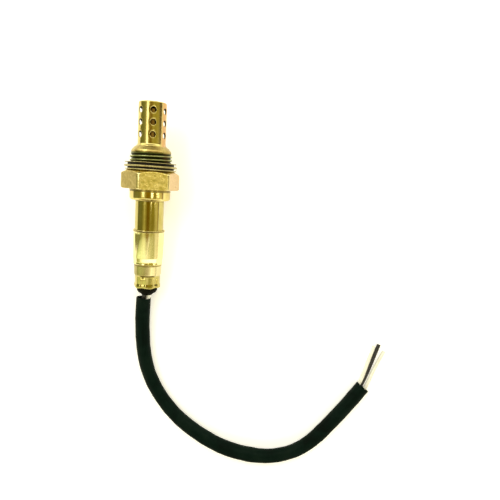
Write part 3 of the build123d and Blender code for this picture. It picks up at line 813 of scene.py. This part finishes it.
def build_shield():
    side = 16                         # points along each side of a hole's cell
    nb, cols = 4 * side, 6 * side
    half_az, half_z = math.radians(30), 2.475
    az0 = math.radians(16.0)
    verts, faces, slots = [], [], []

    def add(points, fs, slot=0):
        base = len(verts)
        verts.extend(points)
        faces.extend(tuple(base + i for i in f) for f in fs)
        slots.extend([slot] * len(fs) if isinstance(slot, int) else slot)

    # unit square outline and its matching circle, starting at the lower left corner
    k = np.arange(side) / side * 2 - 1
    one = np.ones(side)
    sq = np.concatenate([np.stack([k, -one], 1), np.stack([one, k], 1),
                         np.stack([-k, one], 1), np.stack([-one, -k], 1)])
    ang = np.arange(nb) / nb * 2 * math.pi - 3 * math.pi / 4
    circle = np.stack([np.cos(ang), np.sin(ang)], 1)
    rim, dip = 0.24, 0.05
    for row in (29.1, 24.15, 19.2):
        for c in range(6):
            centre = az0 + c * math.pi / 3
            rings_ = []
            # outer skin, from the cell's edge to the hole, with a slightly dished edge
            for t in (1.0, 0.72, 0.5, 0.33, 0.2, 0.1, 0.04, 0.0):
                flat_hole = circle * (HOLE + rim)
                cell = np.stack([sq[:, 0] * half_az * SH_R, sq[:, 1] * half_z], 1)
                q = flat_hole * (1 - t) + cell * t
                dish = dip * math.exp(-(t / 0.16) ** 2)
                straight = np.arcsin(np.clip(q[:, 0] / SH_R, -0.99, 0.99))
                angle = q[:, 0] / SH_R
                az = centre + straight * (1 - t) + angle * t if t < 1 else centre + angle
                rings_.append(ring(SH_R - dish, az, row + q[:, 1]))
            # rolled-in edge, wall and inner skin
            for w in (22.5, 45.0, 67.5, 90.0):
                h = HOLE + rim * (1 - math.sin(math.radians(w)))
                d = dip + 0.14 * (1 - math.cos(math.radians(w)))
                rings_.append(ring(SH_R - d, centre + np.arcsin(circle[:, 0] * h / (SH_R - d)),
                                   row + circle[:, 1] * h))
            for d in (0.3, SH_T):
                rings_.append(ring(SH_R - d, centre + np.arcsin(circle[:, 0] * HOLE / (SH_R - d)),
                                   row + circle[:, 1] * HOLE))
            ri = SH_R - SH_T
            for t in (0.15, 0.45, 1.0):
                cell = np.stack([sq[:, 0] * half_az * ri, sq[:, 1] * half_z], 1)
                q = circle * HOLE * (1 - t) + cell * t
                straight = np.arcsin(np.clip(q[:, 0] / ri, -0.99, 0.99))
                angle = q[:, 0] / ri
                az = centre + straight * (1 - t) + angle * t if t < 1 else centre + angle
                rings_.append(ring(ri, az, row + q[:, 1]))
            pts = np.concatenate(rings_)
            fs = grid_faces(len(rings_), nb)
            # slot 1 is painted shade: the last turn of each hole's rolled edge, its wall and the inner
            # skin are dark
            add(list(placed(pts)), fs, [0 if i < 10 * nb else 1 for i in range(len(fs))])
    # rows above and below the holes
    az = az0 - half_az + np.arange(cols) / cols * 2 * math.pi
    lo, hi = 19.2 - half_z, 29.1 + half_z
    ri = SH_R - SH_T
    tip = fillet([(SH_R, hi), (SH_R, 32.6, 1.2), (4.0, 32.6), (0.4, 32.56)], seg=12)
    tip = [p for p in refine(tip, 0.7)]
    tip_in = fillet([(ri, hi), (ri, 32.2, 0.8), (3.0, 32.2), (0.4, 32.2)], seg=6)
    # the tip's inner skin (slot 1) gets the painted shade as well
    for slot, prof in enumerate((tip, tip_in)):
        pts = np.concatenate([ring(np.full(cols, p[0]), az, np.full(cols, p[1])) for p in prof])
        fs = grid_faces(len(prof), cols)
        fs.append(tuple((len(prof) - 1) * cols + j for j in range(cols)))
        add(list(placed(pts)), fs, slot)
    foot = refine(fillet([(SH_R, lo), (SH_R, 15.4, 0.9), (6.42, 14.5, 0.35), (6.45, 13.35, 0.1),
                          (7.2, 13.3, 0.05), (7.2, 12.95, 0.05), (6.05, 12.95, 0.1),
                          (6.05, 14.3, 0.3), (ri, 15.3, 0.4), (ri, lo)], seg=8), 0.5)
    pts = np.concatenate([ring(np.full(cols, p[0]), az, np.full(cols, p[1])) for p in foot])
    add(list(placed(pts)), grid_faces(len(foot), cols))
    return obj_from("outer_shield_tube", verts, faces, [M["shield"], M["painted_shade"]], slots, weld=2e-7,
                    sharp=40.0)


shield = build_shield()
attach(shield, "root")
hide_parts("outer_shield")

# --------------------------------------------------------------- upper sleeve
sleeve_loop = refine(fillet([
    (5.7, -6.4), (6.5, -6.4, 0.05), (6.5, -6.85, 0.05), (6.15, -7.1, 0.1),
    (6.15, -23.0, 0.4), (6.0, -24.0, 0.4), (6.0, -36.1, 0.3), (5.84, -40.7, 0.6), (5.55, -41.6, 0.6),
    (5.55, -44.8, 0.5), (5.76, -45.5, 0.4), (5.80, -46.6, 0.22), (5.3, -46.6, 0.1),
    (4.78, -46.45, 0.08), (4.9, -45.9), (4.9, -41.6, 0.3), (5.55, -40.6, 0.3), (5.55, -24.0, 0.2),
    (5.7, -23.0, 0.2)], closed=True, seg=7), 0.42, closed=True)


def sleeve_shape(r, a, z):
    outer = r > 5.3
    crimp = (z < -40.9) & outer
    for k in range(6):
        c = math.radians(-8.0 + 60 * k)
        off = (a - c + math.pi) % (2 * math.pi) - math.pi
        t = 5.5 * np.sin(off)
        near = np.cos(off) > 0.6
        over = np.maximum(0.0, z + 43.1)
        inside = 1.4 - np.sqrt(t * t + over * over)
        s = smooth(inside, -0.35, 0.95) * near
        lip = smooth(z, -44.8, -45.7)
        floor = (5.24 + 0.24 * lip) / np.maximum(np.cos(off), 0.6)
        r = np.where(crimp, r * (1 - s) + np.minimum(r, floor) * s, r)
    # the lip's end is scalloped: between the grooves it stands further back
    wave = np.cos(6 * (a - math.radians(-8.0)))
    end = smooth(z, -45.2, -46.5) * (r > 4.95)
    z = z + end * 0.16 * wave
    r = r + np.where(crimp, 0.04 * smooth(z, -44.8, -46.2) * -wave, 0.0)
    # a thin tube is never quite round
    r = r + np.where(outer, 0.012 * np.cos(2 * a + 0.08 * z) + 0.006 * np.cos(3 * a - 0.15 * z), 0.0)
    return r, z


def sleeve_slot(r, z):
    """Dark bands of painted shade in the two joints, under the cover and under the collar; duller on
    the crimped tail.
    """
    if r > 5.75 and (-36.75 < z < -36.0 or z > -8.95):
        return 1
    return 2 if r > 5.75 and -41.0 < z < -36.0 else 0


sleeve = lathe("upper_sleeve_tube", sleeve_loop, [M["sleeve"], M["rim"], M["tail"]], cols=288,
               shape=sleeve_shape, sharp=45.0, pick=sleeve_slot)
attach(sleeve, "root")
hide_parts("upper_sleeve")

# ----------------------------------------------------------------- vent cover
cover_loop = refine(fillet([
    (6.5, -21.1, 0.04), (6.85, -21.1, 0.12), (6.85, -21.55, 0.12), (6.6, -21.9, 0.15),
    (6.6, -33.3, 2.0), (6.34, -35.95, 0.25), (6.24, -36.2, 0.10), (6.03, -36.2, 0.03), (6.03, -35.8),
    (6.3, -35.0, 0.3), (6.3, -22.45, 0.2)], closed=True, seg=9), 0.4, closed=True)


def cover_shape(r, a, z):
    """Swaged tight: wedge-shaped flats that run out towards one end or the other."""
    outer = (r > 6.12) & (z < -22.1)
    down = np.clip((-22.6 - z) / 10.6, 0, 1)
    new = np.full(r.shape, 6.6)
    for k in range(3):
        early = (120.0 * k - 34.0 - 7.0 * down, 15.2 * (1 - down) ** 0.7)
        late = (120.0 * k + 22.0 + 5.0 * (1 - down), 13.2 * np.sqrt(down))
        for centre, wide in (early, late):
            off = (a - np.radians(centre) + math.pi) % (2 * math.pi) - math.pi
            edge = 6.6 * np.cos(np.radians(wide))
            plane = np.where(np.cos(off) > 0.7, edge / np.maximum(np.cos(off), 0.7), 99.0)
            s = 0.008
            h = np.clip(0.5 + 0.5 * (plane - new) / s, 0, 1)
            new = plane * (1 - h) + new * h - s * h * (1 - h)
    fade = smooth(z, -22.0, -22.6) * (1 - smooth(z, -35.0, -36.0))
    run = np.maximum(0.0, -23.2 - z)
    taper = 0.016 * (run - 1.2 * (1 - np.exp(-run / 1.2))) * (1 - smooth(z, -35.2, -36.1))
    r = r + np.where(outer, (new - 6.6) * fade - taper, 0.0)
    return r, z


# slot 1 is painted shade on the underside of the flange
cover = lathe("vent_cover_tube", cover_loop, [M["cover"], M["rim"]], cols=360, shape=cover_shape,
              pick=lambda r, z: 1 if -22.02 < z < -21.36 and r > 6.55 else 0, sharp=45.0)
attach(cover, "root")
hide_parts("vent_cover")

# -------------------------------------------------------------------- grommet
def build_grommet():
    prof = fillet([(0.3, -39.4), (5.5, -39.4, 0.3), (5.5, -40.6, 0.3), (4.87, -41.5, 0.3),
                   (4.87, -45.8, 0.1), (4.70, -46.2), (4.70, -46.75, 0.1), (4.50, -46.9, 0.1),
                   (4.45, -48.1, 0.6), (3.9, -49.05, 0.5), (2.6, -49.85, 0.4), (2.4, -50.27, 0.2),
                   (0.3, -50.27)], seg=8)
    prof = refine(prof, 0.8)
    cols = 96
    az = np.arange(cols) / cols * 2 * math.pi
    r = np.repeat(prof[:, :1], cols, 1)
    z = np.repeat(prof[:, 1:], cols, 1)
    p = placed(ring(r, np.broadcast_to(az, r.shape), z)).reshape(-1, 3)
    faces = grid_faces(len(prof), cols)
    faces.append(tuple(range(cols - 1, -1, -1)))
    faces.append(tuple((len(prof) - 1) * cols + j for j in range(cols)))
    body = obj_from("grommet_plug", p, faces, [M["rubber"]], sharp=40.0)
    for key, deg in WIRE_AZ.items():
        a = math.radians(deg)
        cx, cy = 1.2 * math.cos(a), 1.2 * math.sin(a)
        m = 32
        th = np.arange(m) / m * 2 * math.pi
        pts = [np.stack([cx + 0.87 * np.cos(th), cy + 0.87 * np.sin(th), np.full(m, zz)], 1)
               for zz in (-38.4, -51.2)]
        q = placed(np.concatenate(pts))
        f = grid_faces(2, m) + [tuple(range(m - 1, -1, -1)), tuple(m + j for j in range(m))]
        cutter = obj_from("cutter_" + key, q, f, [M["rubber"]])
        mod = body.modifiers.new("hole", "BOOLEAN")
        mod.operation, mod.solver, mod.object = "DIFFERENCE", "EXACT", cutter
        bpy.context.view_layer.update()
        done = bpy.data.meshes.new_from_object(
            body.evaluated_get(bpy.context.evaluated_depsgraph_get()))
        body.modifiers.clear()
        body.data = done
        bpy.data.objects.remove(cutter)
    body.data.polygons.foreach_set("use_smooth", np.ones(len(body.data.polygons), bool))
    body.data.set_sharp_from_angle(angle=math.radians(40))
    return body


grommet = build_grommet()
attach(grommet, "root")
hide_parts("grommet")

# ------------------------------------------------------------- floor, lights
def floor_material():
    """White paper, a little darker far from the sensor; near the sensor it glows with painted light
    that lifts its own shadows slightly.
    """
    n = Nodes("floor_paper")
    v = n.plain()
    cloud = n.noise(v, 6.0, 3.0)
    x, y, z = n.split(v)
    dx, dy = n.math("SUBTRACT", x, 0.043), n.math("SUBTRACT", y, -0.021)
    far = n.math("SQRT", n.math("ADD", n.math("MULTIPLY", dx, dx), n.math("MULTIPLY", dy, dy)))
    near = n.ramp(cloud, [(0.3, (0.93, 0.925, 0.91)), (0.7, (0.95, 0.945, 0.93))])
    n.set(color=n.mix(n.between(far, 0.168, 0.42, 0.0, 1.0), near, (0.42, 0.41, 0.38)), rough=0.75,
          specular=0.2)
    n.bsdf.inputs["Emission Color"].default_value = (1.0, 0.985, 0.95, 1.0)
    n.link(n.between(far, 0.168, 0.42, 0.38, 0.05), n.bsdf.inputs["Emission Strength"])
    return n.mat


me = bpy.data.meshes.new("floor")
S = 4.0
me.from_pydata([(-S, -S, 0), (S, -S, 0), (S, S, 0), (-S, S, 0)], [], [(0, 1, 2, 3)])
me.materials.append(floor_material())
floor = bpy.data.objects.new("floor", me)
bpy.context.scene.collection.objects.link(floor)

world = bpy.data.worlds.new("world")
bpy.context.scene.world = world
world.use_nodes = True


def build_world():
    """A dim room overhead, bright walls beyond the sensor's two ends, one dark shape between."""
    t = world.node_tree
    t.nodes.clear()

    def node(kind, **props):
        n = t.nodes.new(kind)
        for k, v in props.items():
            setattr(n, k, v)
        return n

    def math_(op, a, b=0.0):
        n = node("ShaderNodeMath", operation=op)
        for sck, v in zip(n.inputs, (a, b)):
            if isinstance(v, bpy.types.NodeSocket):
                t.links.new(v, sck)
            else:
                sck.default_value = v
        return n.outputs[0]

    def ramp(fac, stops, mode="EASE"):
        n = node("ShaderNodeValToRGB")
        n.color_ramp.interpolation = mode
        el = n.color_ramp.elements
        while len(el) < len(stops):
            el.new(0.5)
        for e, (pos, col) in zip(el, stops):
            e.position = pos
            e.color = (*col, 1.0)
        t.links.new(fac, n.inputs["Fac"])
        return n.outputs["Color"]

    def mix(fac, a, b):
        n = node("ShaderNodeMix", data_type="RGBA")
        for sck, v in ((n.inputs[0], fac), (n.inputs[6], a), (n.inputs[7], b)):
            if isinstance(v, bpy.types.NodeSocket):
                t.links.new(v, sck)
            else:
                sck.default_value = (*v, 1.0) if isinstance(v, tuple) else v
        return n.outputs[2]

    def step(value, lo, hi):
        n = node("ShaderNodeMapRange", interpolation_type="SMOOTHSTEP")
        t.links.new(value, n.inputs["Value"])
        n.inputs["From Min"].default_value = lo
        n.inputs["From Max"].default_value = hi
        return n.outputs["Result"]

    def dot(vector):
        n = node("ShaderNodeVectorMath", operation="DOT_PRODUCT")
        t.links.new(co, n.inputs[0])
        n.inputs[1].default_value = tuple(vector)
        return n.outputs["Value"]

    co = node("ShaderNodeTexCoord").outputs["Generated"]
    # angle round the sensor's axis from straight over it, and how far towards its tip
    across = math_("MULTIPLY", math_("ARCTAN2", dot(SIDE), dot(UP)), 180 / math.pi)
    along = math_("SUBTRACT", dot(AXIS), math_("MULTIPLY", across, 0.00045))
    fac = math_("ADD", math_("MULTIPLY", across, 1 / 240), 0.5)
    front, back, tail, end = (ramp(fac, [((a + 120) / 240, c) for a, c in stops])
                              for stops in (SKY_FRONT, SKY_BACK, SKY_TAIL, SKY_END))
    out = mix(step(along, 0.045, -0.005), front, back)
    out = mix(step(along, -0.136, -0.170), out, tail)
    dark = math_("MULTIPLY", step(math_("ABSOLUTE", math_("ADD", across, -2.0)), 17, 5),
                 step(along, -0.194, -0.166))
    out = mix(dark, out, (0.28, 0.17, 0.0))
    out = mix(step(along, -0.256, -0.274), out, end)
    for wall, foot in ((WALL_TIP, WALL_FOOT[0]), (WALL_TAIL, WALL_FOOT[1])):
        lit = mix(step(along, *wall[2:]), WALL_COLOUR, foot)
        out = mix(step(along, *wall[:2]), out, lit)
    bg = node("ShaderNodeBackground")
    t.links.new(out, bg.inputs["Color"])
    bg.inputs["Strength"].default_value = 1.0
    t.links.new(bg.outputs[0], node("ShaderNodeOutputWorld").inputs[0])


SKY_FRONT = [(-104, (0.60, 0.58, 0.40)), (-92, (0.22, 0.22, 0.08)), (-56, (0.27, 0.28, 0.08)),
             (-44, (0.46, 0.44, 0.18)), (-22, (0.50, 0.46, 0.17)), (-12, (0.46, 0.39, 0.06)),
             (20, (0.50, 0.42, 0.06)), (56, (0.50, 0.43, 0.08)), (66, (0.42, 0.35, 0.09)),
             (77, (0.14, 0.11, 0.06)), (90, (0.16, 0.11, 0.08)), (98, (1.1, 0.78, 0.60))]
SKY_BACK = [(-104, (0.60, 0.58, 0.40)), (-92, (0.27, 0.27, 0.11)), (-60, (0.28, 0.28, 0.09)),
            (-47, (0.29, 0.27, 0.05)), (-36, (0.52, 0.48, 0.16)), (-27, (0.74, 0.68, 0.26)),
            (-15, (0.48, 0.41, 0.09)), (-2, (0.31, 0.25, 0.03)), (8, (0.23, 0.18, 0.01)),
            (17, (0.46, 0.39, 0.07)), (32, (0.41, 0.34, 0.04)), (50, (0.45, 0.38, 0.06)),
            (61, (0.80, 0.70, 0.32)), (72, (1.0, 0.92, 0.50)), (82, (0.80, 0.66, 0.32)),
            (89, (0.22, 0.14, 0.06)), (95, (0.26, 0.18, 0.08)), (101, (1.0, 0.82, 0.60))]
SKY_TAIL = [(-104, (0.9, 0.95, 0.55)), (-92, (0.55, 0.58, 0.22)), (-78, (1.00, 1.10, 0.60)),
            (-60, (1.20, 1.32, 0.80)), (-20, (1.28, 1.32, 0.92)), (14, (1.25, 1.22, 0.95)),
            (22, (0.85, 0.83, 0.50)), (29, (0.58, 0.56, 0.26)), (55, (0.60, 0.55, 0.28)),
            (64, (0.98, 0.90, 0.62)), (90, (1.05, 0.93, 0.70))]
WALL_TIP = (0.36, 0.60, 0.74, 0.90)
SKY_END = [(-104, (0.9, 0.85, 0.45)), (-90, (0.42, 0.42, 0.15)), (-45, (0.62, 0.60, 0.24)),
           (-25, (0.70, 0.66, 0.30)), (-5, (0.62, 0.50, 0.24)), (12, (0.70, 0.58, 0.32)),
           (30, (1.3, 1.2, 0.8)), (45, (2.0, 1.95, 1.5)), (70, (1.6, 1.5, 1.1)), (90, (1.2, 1.1, 0.8))]
WALL_TAIL = (-0.335, -0.385, -0.52, -0.66)
WALL_COLOUR = (2.4, 2.36, 1.95)
WALL_FOOT = ((0.62, 0.56, 0.40), (0.40, 0.33, 0.14))
build_world()


def softbox(name, across, along, distance, width, height, radiance, colour=(1, 1, 1)):
    """A rectangular light; its angles are measured round the sensor's axis and towards its tip."""
    a, e = math.radians(across), math.radians(along)
    z = (UP * math.cos(a) + SIDE * math.sin(a)) * math.cos(e) + AXIS * math.sin(e)
    li = bpy.data.lights.new(name, "AREA")
    li.shape = "RECTANGLE"
    li.size, li.size_y = width, height
    li.energy = radiance * math.pi * width * height
    li.color = colour
    ob = bpy.data.objects.new(name, li)
    bpy.context.scene.collection.objects.link(ob)
    ob.location = Vector(z * distance) + Vector((0.0, 0.0, 0.012))
    # its long side follows the axis
    x = np.cross(AXIS, z)
    x /= np.linalg.norm(x)
    ob.rotation_euler = Matrix((x, np.cross(z, x), z)).transposed().to_euler()
    ob.visible_camera = False
    return ob


softbox("key_left", -26, 20.0, 0.70, 0.19, 0.58, 2.7, (1.0, 0.98, 0.95))
softbox("lamp_a", 25, -2.2, 0.70, 0.13, 0.022, 7.5, (1.0, 0.96, 0.90))
softbox("lamp_b", 57, -1.6, 0.70, 0.20, 0.022, 6.0, (1.0, 0.94, 0.86))

scene = bpy.context.scene
scene.view_settings.view_transform = "Standard"
scene.view_settings.look = "None"
scene.view_settings.exposure = 0.0
